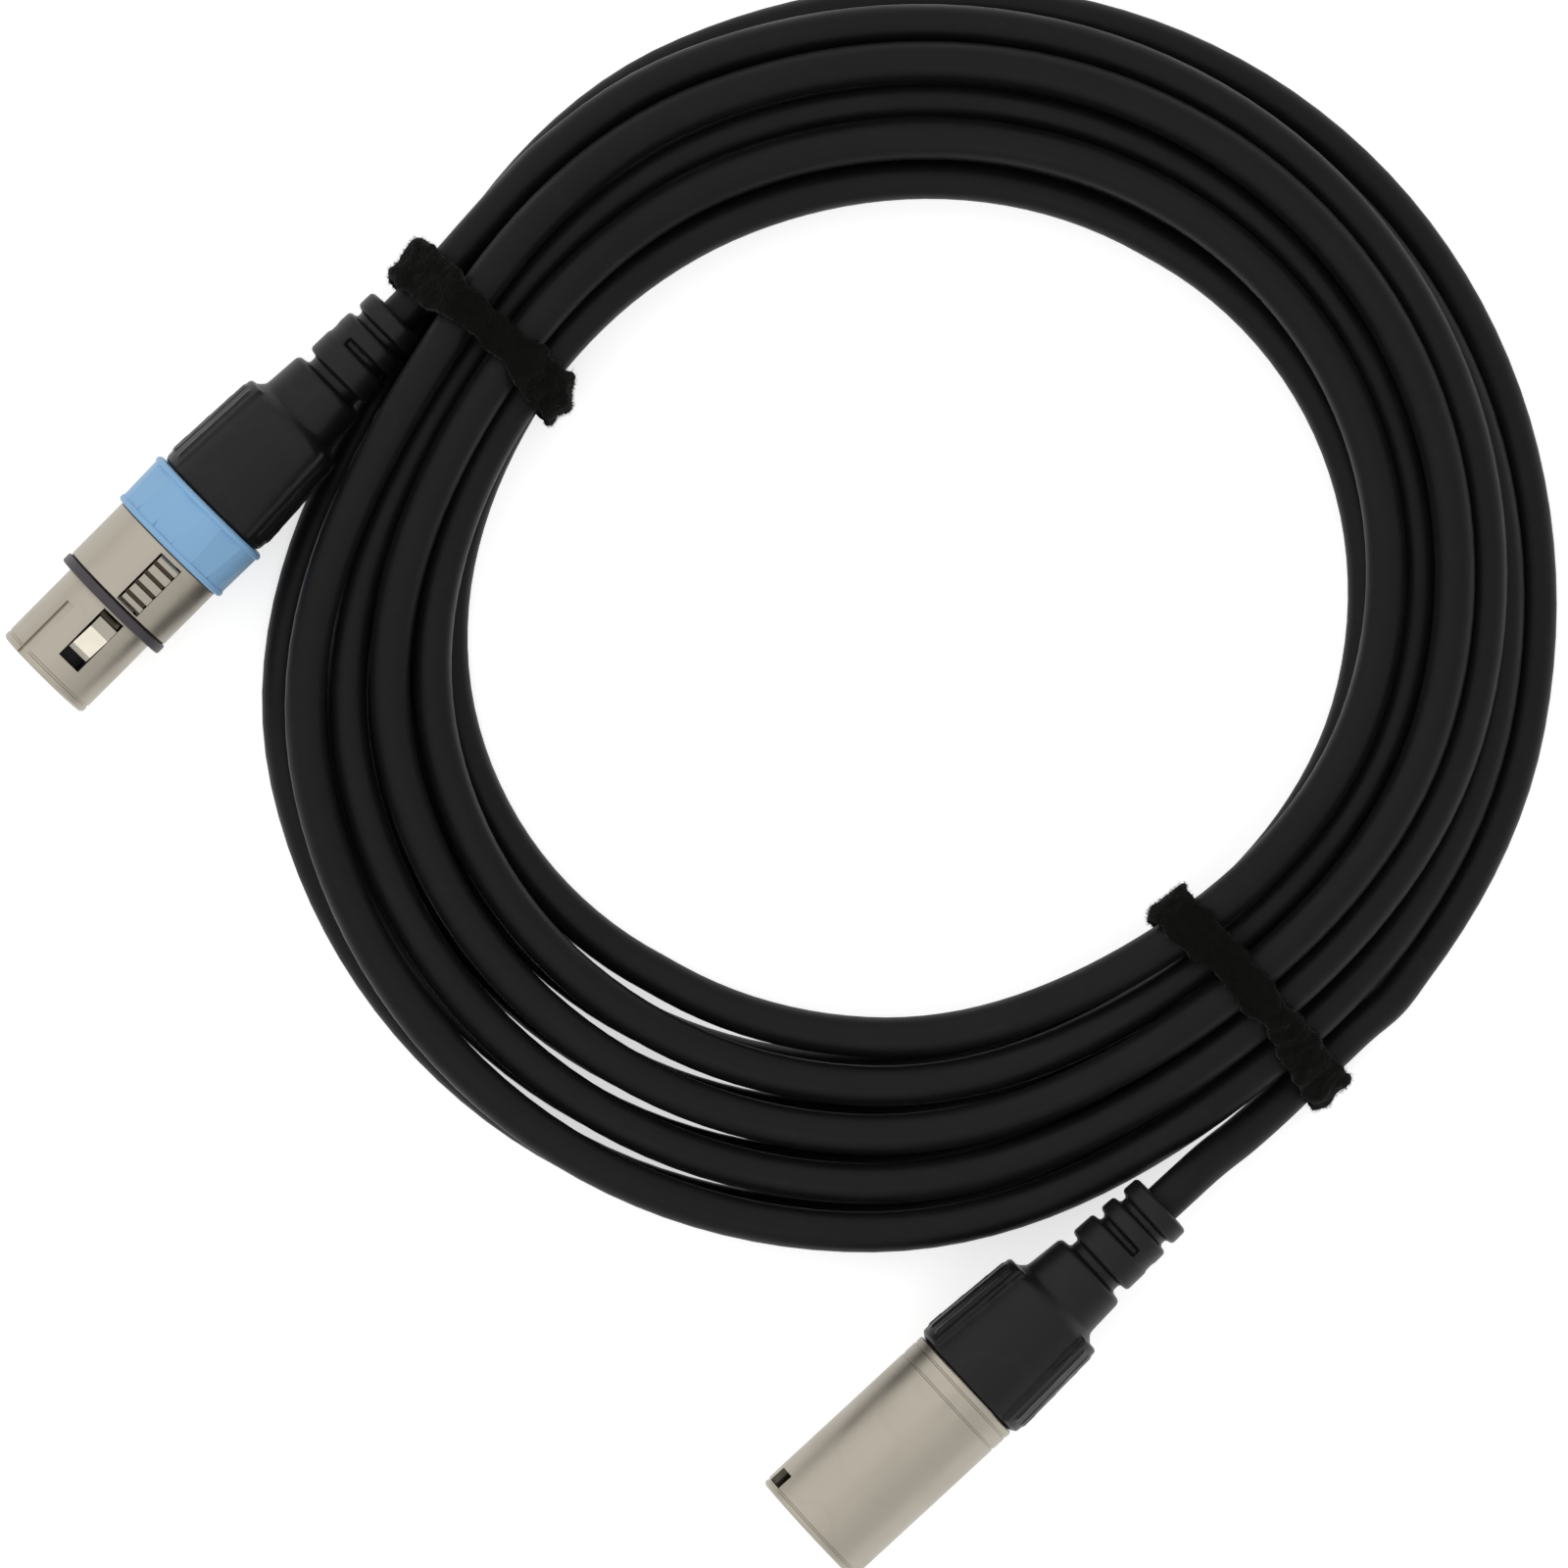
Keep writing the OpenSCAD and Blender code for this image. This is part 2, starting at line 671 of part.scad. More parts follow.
// Screw-on boot: two finger wings in front, collars of the strain relief behind
module boot(wings) {
    neck = 17.3;
    socket_r = spigot_r + fit;
    seat_x = spigot_len + fit;
    cone_x = chuck_len + chuck_front + 0.4;
    bore = cable_r + 0.15;
    color([0.1, 0.1, 0.11])
        difference() {
            union() {
                turned([
                    [0.05, 0], [0.05, boot_r - 0.3], [0.4, boot_r], [2, boot_r],
                    [neck, boot_r - 1], [neck + 1.4, boot_r - 2.1], [neck + 5, boot_r - 3.6],
                    [neck + 8.1, boot_r - 4.5], [neck + 8.7, boot_r - 4.5],
                    [neck + 9, collar_r + 0.3], [neck + 9.4, collar_r + 0.5], [neck + 11.3, collar_r + 0.5],
                    [neck + 11.7, collar_r + 0.2], [neck + 11.9, collar_r - 0.9],
                    [neck + 12.7, collar_r - 0.9], [neck + 12.9, collar_r], [neck + 13.2, collar_r + 0.2],
                    [neck + 15.4, collar_r + 0.2], [neck + 15.8, collar_r - 0.1],
                    [neck + 16, collar_r - 1], [neck + 17.6, collar_r - 1],
                    [neck + 17.9, collar_r - 0.2], [neck + 18.2, collar_r],
                    [boot_len - 0.6, collar_r - 0.1], [boot_len, collar_r - 0.7], [boot_len, 0]
                ]);
                wings(neck, wings);
            }
            turned([
                [-1, 0], [-1, socket_r], [seat_x, socket_r], [seat_x, chuck_r + fit],
                [seat_x + 0.5, chuck_r + fit], [cone_x, bore + 1.1], [cone_x, bore],
                [boot_len + 1, bore], [boot_len + 1, 0]
            ]);
        }
}

// Finger wings: a rounded pad on each side, with a groove along it
module wings(length, reach) {
    half = 3.6;
    for (side = [0, 1])
        mirror([0, side, 0])
            difference() {
                hull() {
                    for (z = [-half, half]) {
                        translate([1.2, reach - 1.5, z])
                            sphere(r = 1.2, $fn = 24);
                        translate([length - 1.4, reach - 2.1, z])
                            sphere(r = 1.2, $fn = 24);
                        translate([1.2, spigot_r + 0.6, z])
                            sphere(r = 0.6, $fn = 24);
                        translate([length + 0.4, spigot_r - 1, z])
                            sphere(r = 0.6, $fn = 24);
                    }
                }
                block(3, length - 2, 2 * (spigot_r + 0.3), -half - 3, half + 3);
                for (z = [-1.3, 1.3])
                    translate([3, reach - 0.2, z])
                        rotate([0, 90, 0])
                            cylinder(h = length - 6, r = 0.45, $fn = 16);
            }
}

// ---------------------------------------------------------------- ties

// Middles of the turns that pass through a tie, as [radius, height]
function turns_at(a) = [
    for (k = [0 : ceil(last_turn)])
        let (u = k + ((turns_from - a) / 360 + 10) % 1)
        if (u >= first_turn && u <= last_turn) [radius_at(u), height_at(u)]
];

// Outline of the bundle in a tie, larger all round by grow
module bundle(turns, grow) {
    hull()
        for (p = turns)
            translate(p)
                circle(r = cable_r + grow, $fn = 20);
}

// Hook-and-loop strap around the bundle, with its end lapped over the outer side. It goes round
// the turns as they are in its middle and just beyond its two sides. The straight runs
// between the rings of the coil pass a little further in than the rings. Its slant is the angle
// by which it leans away from straight across.
module tie(at, slant, tail_places) {
    inset = [0.45, 0];
    half = atan((tie_w / 2 + 1) / coil_r);
    crossings = [for (a = [at - half, at, at + half]) each turns_at(a)];
    turns = concat(crossings, [for (p = crossings) p - inset], tail_places);
    radii = [for (p = turns) p[0]];
    middle = (max(radii) + min(radii)) / 2;
    outer_edge = max(radii) + cable_r;
    top = max([for (p = turns) p[1]]) + cable_r;
    lean = [[1, 0, 0, 0], [-tan(slant), 1, 0, tan(slant) * middle], [0, 0, 1, 0], [0, 0, 0, 1]];
    color([0.08, 0.08, 0.08])
        rotate([0, 0, at])
            multmatrix(lean)
                rotate([90, 0, 0])
                    linear_extrude(tie_w, center = true)
                        difference() {
                            union() {
                                bundle(turns, seat + tie_t);
                                intersection() {
                                    bundle(turns, seat + 2 * tie_t);
                                    translate([middle, top - 1.4 * lane])
                                        square([outer_edge, 3 * lane]);
                                }
                            }
                            bundle(turns, seat);
                        }
}

module upper_tie() {
    tie(upper_tie_at, upper_slant, [[upper_edge + 2.2, lanes_up(1.93)], [upper_edge + 1.1, lanes_up(1.906)]]);
}

module lower_tie() {
    tie(lower_tie_at, 0, [[lower_edge + 5.1, lanes_up(0.67)], [lower_edge + 4.8, lanes_up(0.5)]]);
}

cable_coil();
female_tail();
male_tail();
on_female() cable_end(female_back);  // female_cable_end
on_male() cable_end(male_back);  // male_cable_end
on_female() female_housing();
on_female() flange_ring();
on_female() coding_ring();
on_female() female_insert();
on_female() female_contact(1);  // female_contact_1
on_female() female_contact(2);  // female_contact_2
on_female() female_contact(3);  // female_contact_3
on_female() latch_lever();
on_female() push_button();
on_female() latch_pin();
on_female() latch_spring();
on_female() translate([female_back, 0, 0]) chuck();  // female_chuck
on_female(0) translate([female_back, 0, 0]) boot(wing_reach - 0.4);  // female_boot
on_female() female_lead(1);  // female_lead_1
on_female() female_lead(2);  // female_lead_2
on_female() female_lead(3);  // female_lead_3
on_male() male_shell();
on_male() male_insert();
on_male() male_pin(1);  // male_pin_1
on_male() male_pin(2);  // male_pin_2
on_male() male_pin(3);  // male_pin_3
on_male() ground_spring();
on_male() translate([male_back, 0, 0]) chuck();  // male_chuck
on_male(0) translate([male_back, 0, 0]) boot(wing_reach);  // male_boot
on_male() male_lead(1);  // male_lead_1
on_male() male_lead(2);  // male_lead_2
on_male() male_lead(3);  // male_lead_3
upper_tie();
lower_tie();
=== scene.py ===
import json
import random
from math import ceil, cos, exp, pi, radians, sin, sqrt, tan
import bpy
import bmesh
from mathutils import Euler, Matrix, Vector, geometry, noise


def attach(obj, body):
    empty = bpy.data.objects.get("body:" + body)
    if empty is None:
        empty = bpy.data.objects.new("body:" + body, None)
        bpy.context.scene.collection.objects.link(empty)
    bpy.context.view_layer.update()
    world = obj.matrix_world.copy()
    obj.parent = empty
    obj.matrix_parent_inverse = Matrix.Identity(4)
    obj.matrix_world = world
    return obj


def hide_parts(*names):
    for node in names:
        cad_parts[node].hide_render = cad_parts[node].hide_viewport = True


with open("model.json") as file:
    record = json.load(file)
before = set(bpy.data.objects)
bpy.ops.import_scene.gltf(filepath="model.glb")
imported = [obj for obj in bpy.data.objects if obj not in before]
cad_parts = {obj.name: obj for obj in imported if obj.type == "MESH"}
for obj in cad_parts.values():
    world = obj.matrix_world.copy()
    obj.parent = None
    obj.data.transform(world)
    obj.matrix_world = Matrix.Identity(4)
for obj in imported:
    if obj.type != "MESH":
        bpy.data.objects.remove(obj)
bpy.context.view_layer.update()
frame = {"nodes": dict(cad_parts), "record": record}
nodes = frame["nodes"]
mm = 0.001
print("frame loaded,", len(nodes), "nodes")


# Camera: far above the coil, turned about its own axis and square to the two connectors
cameraSettings = {
    "distance": 3.0,             # metres above the middle height of the coil
    "aim": (-0.02884, -0.00527, 0.010),
    "turn": -44.5,               # degrees
    "lean": 2.5,                 # degrees from upright, towards the tips of the connectors
    "frameWidth": 0.22695,       # metres across the view, at the aimed height
    "sensor": 36.0,              # millimetres
    "clip": (0.01, 50),          # metres
}


def makeCamera(s):
    data = bpy.data.cameras.new("camera")
    data.sensor_width = s["sensor"]
    data.sensor_fit = "HORIZONTAL"
    data.lens = s["sensor"] * s["distance"] / s["frameWidth"]
    data.clip_start, data.clip_end = s["clip"]
    camera = bpy.data.objects.new("camera", data)
    lean = Matrix.Rotation(-radians(s["lean"]), 4, "Y")
    camera.location = Vector(s["aim"]) + lean @ Vector((0, 0, s["distance"]))
    camera.rotation_euler = (lean @ Matrix.Rotation(radians(s["turn"]), 4, "Z")).to_euler()
    bpy.context.scene.collection.objects.link(camera)
    bpy.context.scene.camera = camera


makeCamera(cameraSettings)
print("camera ready")


# Where the two connectors lie, in millimetres and degrees, as in the solid model.
# "back" is the distance from a connector's tip to its boot.
connectors = {
    "female": {
        "tip": (-94.2, 81.2013, 8.6873), "yaw": 0.6, "pitch": 4.0005, "roll": 12.7, "back": 34.5},
    "male": {
        "tip": (-102.1, -84.6942, 9.5), "yaw": -1.8, "pitch": 2.5011, "roll": -63.0, "back": 31.2},
}
bootLength = 38.5


def connectorTurn(side, roll=None):     # its own roll, unless another is given
    c = connectors[side]
    roll = c["roll"] if roll is None else roll
    return Euler((radians(roll), radians(-c["pitch"]), radians(c["yaw"])))


# Shader helpers and the groups that the finishes share
def newGroup(name, inputs, outputs):
    group = bpy.data.node_groups.new(name, "ShaderNodeTree")
    for label, kind, value in inputs:
        socket = group.interface.new_socket(label, in_out="INPUT", socket_type="NodeSocket" + kind)
        if value is not None:
            socket.default_value = value
    for label, kind in outputs:
        group.interface.new_socket(label, in_out="OUTPUT", socket_type="NodeSocket" + kind)
    return group, group.nodes.new("NodeGroupInput"), group.nodes.new("NodeGroupOutput")


def addNode(tree, kind, values=None, **settings):
    node = tree.nodes.new("ShaderNode" + kind)
    for key, value in settings.items():
        setattr(node, key, value)
    for key, value in (values or {}).items():
        node.inputs[key].default_value = value
    return node


def objectCoordinates(tree):
    return addNode(tree, "TexCoord").outputs["Object"]


def mixColours(tree, factor, first, second):     # each colour is a socket or three numbers
    mix = addNode(tree, "Mix", data_type="RGBA")
    tree.links.new(factor, mix.inputs[0])
    for index, colour in ((6, first), (7, second)):     # its two colour sockets
        if isinstance(colour, bpy.types.NodeSocket):
            tree.links.new(colour, mix.inputs[index])
        else:
            mix.inputs[index].default_value = (*colour, 1)
    return mix.outputs[2]


def makeGrainGroup():       # fine moulded or blasted surface as a bump, and a slow cloud
    group, enter, leave = newGroup(
        "fineGrain",
        [("Scale", "Float", 900.0), ("Depth", "Float", 0.02), ("Cloud Scale", "Float", 60.0)],
        [("Normal", "Vector"), ("Cloud", "Float")])
    link = group.links.new
    place = objectCoordinates(group)
    grain = addNode(group, "TexNoise", {"Detail": 3.0, "Roughness": 0.6})
    cloud = addNode(group, "TexNoise", {"Detail": 2.0, "Roughness": 0.5})
    bump = addNode(group, "Bump", {"Strength": 1.0})
    depth = addNode(group, "Math", {1: mm}, operation="MULTIPLY")
    link(place, grain.inputs["Vector"])
    link(place, cloud.inputs["Vector"])
    link(enter.outputs["Scale"], grain.inputs["Scale"])
    link(enter.outputs["Cloud Scale"], cloud.inputs["Scale"])
    link(enter.outputs["Depth"], depth.inputs[0])
    link(depth.outputs[0], bump.inputs["Distance"])
    link(grain.outputs["Fac"], bump.inputs["Height"])
    link(bump.outputs["Normal"], leave.inputs["Normal"])
    link(cloud.outputs["Fac"], leave.inputs["Cloud"])
    return group


def makeWearGroup():        # faint rubs and scratches, 0 to 1
    group, enter, leave = newGroup(
        "handlingMarks",
        [("Scale", "Float", 40.0), ("Amount", "Float", 0.5)],
        [("Mask", "Float")])
    link = group.links.new
    place = objectCoordinates(group)
    patch = addNode(group, "TexNoise", {"Detail": 4.0, "Roughness": 0.7})
    scratch = addNode(group, "TexWave", {
        "Scale": 22.0, "Distortion": 14.0, "Detail": 3.0, "Detail Scale": 2.0})
    patchRamp = addNode(group, "MapRange", {"From Min": 0.52, "From Max": 0.75})
    scratchRamp = addNode(group, "MapRange", {"From Min": 0.93, "From Max": 1.0})
    both = addNode(group, "Math", operation="MAXIMUM")
    scaled = addNode(group, "Math", operation="MULTIPLY")
    link(place, patch.inputs["Vector"])
    link(place, scratch.inputs["Vector"])
    link(enter.outputs["Scale"], patch.inputs["Scale"])
    link(patch.outputs["Fac"], patchRamp.inputs["Value"])
    link(scratch.outputs["Fac"], scratchRamp.inputs["Value"])
    link(patchRamp.outputs[0], both.inputs[0])
    link(scratchRamp.outputs[0], both.inputs[1])
    link(both.outputs[0], scaled.inputs[0])
    link(enter.outputs["Amount"], scaled.inputs[1])
    link(scaled.outputs[0], leave.inputs["Mask"])
    return group


def makePaintedShadeGroup():      # painted shade: 1 in bores, grooves and windows of a turned piece, 0 on its outside
    group, enter, leave = newGroup(
        "paintedRecessShade",
        [("Place", "Vector", None), ("Deep Radius", "Float", 8.0), ("Even Radius", "Float", 9.0)],
        [("Mask", "Float")])
    link = group.links.new
    parts = addNode(group, "SeparateXYZ")
    square = [addNode(group, "Math", operation="MULTIPLY") for _ in range(2)]
    total = addNode(group, "Math", operation="ADD")
    radius = addNode(group, "Math", operation="SQRT")
    shade = addNode(group, "MapRange", {"To Min": 1.0, "To Max": 0.0})
    link(enter.outputs["Place"], parts.inputs[0])
    for part, node in zip("YZ", square):
        link(parts.outputs[part], node.inputs[0])
        link(parts.outputs[part], node.inputs[1])
    link(square[0].outputs[0], total.inputs[0])
    link(square[1].outputs[0], total.inputs[1])
    link(total.outputs[0], radius.inputs[0])
    link(radius.outputs[0], shade.inputs["Value"])
    link(enter.outputs["Deep Radius"], shade.inputs["From Min"])
    link(enter.outputs["Even Radius"], shade.inputs["From Max"])
    link(shade.outputs[0], leave.inputs["Mask"])
    return group


grainGroup = makeGrainGroup()
wearGroup = makeWearGroup()
paintedShadeGroup = makePaintedShadeGroup()


def makeFinish(name, colour, roughness, grain, wear=(40.0, 0.0), cloudShade=0.1, roughSpread=0.06,
               wearColour=None, metallic=0.0, specular=0.5, sheen=0.0, recessPaintedShade=None):
    material = bpy.data.materials.new(name)
    material.use_nodes = True
    tree = material.node_tree
    tree.nodes.clear()
    link = tree.links.new
    output = addNode(tree, "OutputMaterial")
    shader = addNode(tree, "BsdfPrincipled", {
        "Metallic": metallic, "Specular IOR Level": specular, "Sheen Weight": sheen,
        "Sheen Roughness": 0.4})
    grainNode = addNode(tree, "Group", node_tree=grainGroup)
    for socket, value in zip(("Scale", "Depth", "Cloud Scale"), grain):
        grainNode.inputs[socket].default_value = value
    wearNode = addNode(tree, "Group", node_tree=wearGroup)
    for socket, value in zip(("Scale", "Amount"), wear):
        wearNode.inputs[socket].default_value = value
    darker = [c * (1 - cloudShade) for c in colour]
    lighter = [min(1, c * (1 + cloudShade)) for c in colour]
    worn = wearColour or [min(1, c * 1.5) for c in colour]      # half as bright again
    surface = mixColours(tree, grainNode.outputs["Cloud"], darker, lighter)
    surface = mixColours(tree, wearNode.outputs["Mask"], surface, worn)
    if recessPaintedShade:              # painted shade in bores and grooves: its side, the radii where it is darkest and where it ends, its colour
        side, deepRadius, evenRadius, paintedShadeColour = recessPaintedShade
        place = addNode(tree, "Mapping", {
            "Location": Vector(connectors[side]["tip"]) * mm, "Rotation": connectorTurn(side),
            "Scale": (mm, mm, mm)}, vector_type="TEXTURE")
        paintedShadeNode = addNode(tree, "Group", node_tree=paintedShadeGroup)
        paintedShadeNode.inputs["Deep Radius"].default_value = deepRadius
        paintedShadeNode.inputs["Even Radius"].default_value = evenRadius
        link(objectCoordinates(tree), place.inputs["Vector"])
        link(place.outputs["Vector"], paintedShadeNode.inputs["Place"])
        # mixes the painted shade colour into the surface inside the recesses
        surface = mixColours(tree, paintedShadeNode.outputs["Mask"], surface, paintedShadeColour)
    rough = addNode(tree, "MapRange", {
        "From Min": 0.3, "From Max": 0.7,
        "To Min": roughness - roughSpread, "To Max": roughness + roughSpread})
    link(surface, shader.inputs["Base Color"])
    link(grainNode.outputs["Cloud"], rough.inputs["Value"])
    link(rough.outputs[0], shader.inputs["Roughness"])
    link(grainNode.outputs["Normal"], shader.inputs["Normal"])
    link(shader.outputs[0], output.inputs["Surface"])
    return material


nickelTone = (0.364, 0.332, 0.280)
paintedNickelShade = (0.060, 0.047, 0.034)      # painted shade in bores, grooves and windows


# satin nickel, with painted shade darkening its bores, grooves and windows
def makeNickel(name, side, deepRadius, evenRadius):
    return makeFinish(name, nickelTone, 0.38, (2600.0, 0.010, 120.0), wear=(60.0, 0.12),
                      cloudShade=0.05, wearColour=(0.29, 0.26, 0.215), metallic=1.0,
                      recessPaintedShade=(side, deepRadius, evenRadius, paintedNickelShade))


# One finish for each material slot: colour, roughness, and the scale, depth in millimetres and
# cloud scale of the grain, then the scale and amount of wear
finishes = {
    "jacket": makeFinish(
        "jacketRubber", (0.0058, 0.0055, 0.0060), 0.46, (1400.0, 0.010, 90.0), wear=(70.0, 0.12),
        wearColour=(0.012, 0.012, 0.013), specular=0.13),
    "nickel": makeNickel("satinNickel", "female", 6.9, 7.3),
    "dark_ring": makeFinish(
        "darkRing", (0.050, 0.043, 0.050), 0.45, (1800.0, 0.012, 120.0), specular=0.35),
    "blue_ring": makeFinish(
        "blueRing", (0.245, 0.455, 0.700), 0.45, (1500.0, 0.010, 100.0), cloudShade=0.05,
        specular=0.3),
    "insulator": makeFinish(
        "insulatorPlastic", (0.012, 0.012, 0.013), 0.45, (1500.0, 0.012, 90.0), specular=0.3),
    "gold_contact": makeFinish(
        "goldContact", (0.83, 0.63, 0.27), 0.22, (2500.0, 0.004, 200.0), metallic=1.0),
    "silver_pin": makeFinish(
        "silverPin", (0.72, 0.70, 0.66), 0.18, (2500.0, 0.004, 200.0), metallic=1.0),
    "spring_steel": makeFinish(
        "springSteel", (0.50, 0.47, 0.42), 0.28, (2600.0, 0.008, 150.0), metallic=1.0),
    "clamp_plastic": makeFinish(
        "clampPlastic", (0.02, 0.02, 0.022), 0.5, (1500.0, 0.012, 90.0), specular=0.3),
    "boot_plastic": makeFinish(
        "bootPlastic", (0.0070, 0.0066, 0.0068), 0.40, (1100.0, 0.025, 90.0), wear=(60.0, 0.15),
        wearColour=(0.018, 0.018, 0.016), specular=0.2),
    "screen_lead": makeFinish(
        "screenLead", (0.6, 0.59, 0.57), 0.35, (2500.0, 0.02, 200.0), metallic=1.0),
    "red_lead": makeFinish("redLead", (0.5, 0.03, 0.03), 0.4, (1500.0, 0.008, 90.0)),
    "white_lead": makeFinish("whiteLead", (0.75, 0.75, 0.72), 0.4, (1500.0, 0.008, 90.0)),
    "tie_fabric": makeFinish(
        "tiePile", (0.0050, 0.0048, 0.0042), 0.95, (1600.0, 0.30, 300.0), cloudShade=0.5,
        specular=0.05, sheen=0.08),
}
ownFinishes = {             # nodes with a finish of their own
    # the shell and the button also get painted shade in their bore and grooves
    "male_shell": makeNickel("shellNickel", "male", 8.3, 8.6),
    "push_button": makeNickel("buttonNickel", "female", 9.30, 9.55),
    "latch_lever": makeFinish(
        "latchSteel", (0.385, 0.355, 0.30), 0.22, (2600.0, 0.006, 150.0), metallic=1.0),
}
slotOf = {part["node"]: part["material_slot"] for part in frame["record"]["subparts"]}
for name, piece in nodes.items():
    piece.data.materials.clear()
    piece.data.materials.append(ownFinishes.get(name) or finishes[slotOf[name]])
print("materials ready,", len(finishes) + len(ownFinishes))


# Cable: tails and coil on one route, as in the solid model. Lengths are millimetres, angles
# degrees about the middle of the coil, and places along the coil are counted in turns.
cable = {
    "diameter": 5.9, "turnGap": 0.5, "coilRadius": 76.3,
    "oval": 2.9, "ovalAt": -11.5,            # how far out of round, and the long way's angle
    "pitch": 0.925,                          # from a lower turn to the upper one beside it, lanes
    "pitchSway": (0.14, 187.5),              # how much wider it gets once round, and where
    "pitchPinch": (0.066, 33),               # the same, twice round
    "softStep": 0.122,                       # rounds off the height where the turns lie apart
    "turnsFrom": 101.5,                      # the angle where turns are counted from
    "firstTurn": 0.06, "lastTurn": 9.5,
    "leg": 2.25,                             # turns in which a level spirals in or out
    "downTurns": (2, 2.5), "upTurns": (4.45, 4.73), "dropTurns": (6.57, 6.9),    # level changes
    "upperTieAt": 100.5, "lowerTieAt": 267.5, "tieThickness": 1.4, "seat": 0.3,
    "liftFlat": 10, "liftEnd": 22,           # degrees from a tie
    "nips": [(109, 3.2, 0.19), (264, 2.4, 0.06)], "nipReach": 42,    # angle, inwards, lanes closer
    "pointsPerTurn": 132, "pointsPerTailStretch": 6,
    "ringSides": 7,                          # bevel resolution of the curve
    "insideBoot": 4.0, "straight": 4,        # before and after a boot's end
    "femaleRoute": [(-12, 82.111, 14.001), (-5, 82.611, 13.86), (2, 83.061, 13.604)],
    "maleRoute": [(-23, -87.294, 10.788), (-17, -87.994, 8.356), (-10, -88.394, 6.199),
                  (-2, -88.494, 5.002), (6, -88.644, 4.702)],
}
cableRadius = cable["diameter"] / 2
lane = cable["diameter"] + cable["turnGap"]


def ramp(t, start, end):    # soft step from 0 at the start to 1 at the end
    return (1 - cos(pi * min(max((t - start) / (end - start), 0), 1))) / 2


def cosDegrees(a):
    return cos(radians(a))


def anglesApart(a, b):
    return abs(((a - b) % 360 + 540) % 360 - 180)


def angleAt(u):
    return cable["turnsFrom"] - 360 * u


def nearness(a, at):        # 1 where a tie and its connector press on the coil, 0 far from it
    return 1 - ramp(anglesApart(a, at), 0, cable["nipReach"])


def pitchAt(a):             # the turns lie closer together on the side of the upper tie
    sway, swayAt = cable["pitchSway"]
    pinch, pinchAt = cable["pitchPinch"]
    even = cable["pitch"] + sway * cosDegrees(a - swayAt) + pinch * cosDegrees(2 * (a - pinchAt))
    return lane * (even - sum(squeeze * nearness(a, at) for at, _, squeeze in cable["nips"]))


def middleAt(a):            # radius of the middle of the bundle
    return (cable["coilRadius"] + cable["oval"] * cosDegrees(2 * (a - cable["ovalAt"]))
            - sum(inwards * nearness(a, at) for at, inwards, _ in cable["nips"]))


def stepUp(a):              # how far a turn in the valley between two others lies above them
    soft = cable["softStep"] * lane * lane
    x = lane * lane - pitchAt(a) ** 2
    return sqrt((x + sqrt(x * x + soft * soft)) / 2)


def laneAt(u):              # place in the spiral: inwards and out again, twice, then further out
    leg = cable["leg"]
    within = u % (2 * leg)
    return u - 3 * leg if u > 4 * leg else abs(within - leg)


def liftAt(a):              # the turns rise over the straps that run under them
    lift = cable["tieThickness"] + cable["seat"]
    return lift * sum(1 - ramp(anglesApart(a, cable[tie]), cable["liftFlat"], cable["liftEnd"])
                      for tie in ("upperTieAt", "lowerTieAt"))


def radiusAt(u):
    a = angleAt(u)
    return middleAt(a) + (2 * laneAt(u) - cable["leg"]) * pitchAt(a)


def heightAt(u):            # the level that the turn is on, and its rise over the ties
    a = angleAt(u)
    down, up, drop = (ramp(u, *cable[turns]) for turns in ("downTurns", "upTurns", "dropTurns"))
    steps, lanes = 1 + up - 2 * drop, 1 - down + up - drop
    return cableRadius + liftAt(a) + steps * stepUp(a) + lanes * lane


def coilPoint(u):
    a = radians(angleAt(u))
    return Vector((radiusAt(u) * cos(a), radiusAt(u) * sin(a), heightAt(u)))


def coilDirection(u, step=0.002):
    return (coilPoint(u + step) - coilPoint(u - step)).normalized()


def smoothThrough(points, perStretch):    # Catmull-Rom curve through the given points
    out = []
    for i in range(len(points) - 1):
        p0 = points[max(i - 1, 0)]
        p1, p2 = points[i], points[i + 1]
        p3 = points[min(i + 2, len(points) - 1)]
        for k in range(perStretch):
            t = k / perStretch
            out.append(0.5 * ((2 * p1) + (p2 - p0) * t + (2 * p0 - 5 * p1 + 4 * p2 - p3) * t * t
                              + (3 * p1 - p0 - 3 * p2 + p3) * t * t * t))
    return out + [points[-1]]


def connectorDirection(side):
    return connectorTurn(side).to_matrix() @ Vector((1, 0, 0))


def connectorExit(side):    # where the cable leaves the boot
    reach = connectors[side]["back"] + bootLength
    return Vector(connectors[side]["tip"]) + connectorDirection(side) * reach


def tailPoints(side):       # from inside the boot to the coil, without the coil's own points
    start, direction = connectorExit(side), connectorDirection(side)
    return [start - cable["insideBoot"] * direction, start, start + cable["straight"] * direction,
            *map(Vector, cable[side + "Route"])]


def makeRoute(s):
    first, last = s["firstTurn"], s["lastTurn"]
    steps = ceil((last - first) * s["pointsPerTurn"])
    coil = [coilPoint(first + (last - first) * i / steps) for i in range(steps + 1)]
    beforeCoil = coil[0] - s["diameter"] * coilDirection(first)
    afterCoil = coil[-1] + s["diameter"] * coilDirection(last)
    femaleTail = [*tailPoints("female"), beforeCoil, coil[0]]
    maleTail = [coil[-1], afterCoil, *reversed(tailPoints("male"))]
    points = (smoothThrough(femaleTail, s["pointsPerTailStretch"])[:-1] + coil[:-1]
              + smoothThrough(maleTail, s["pointsPerTailStretch"]))
    return [p * mm for p in points]


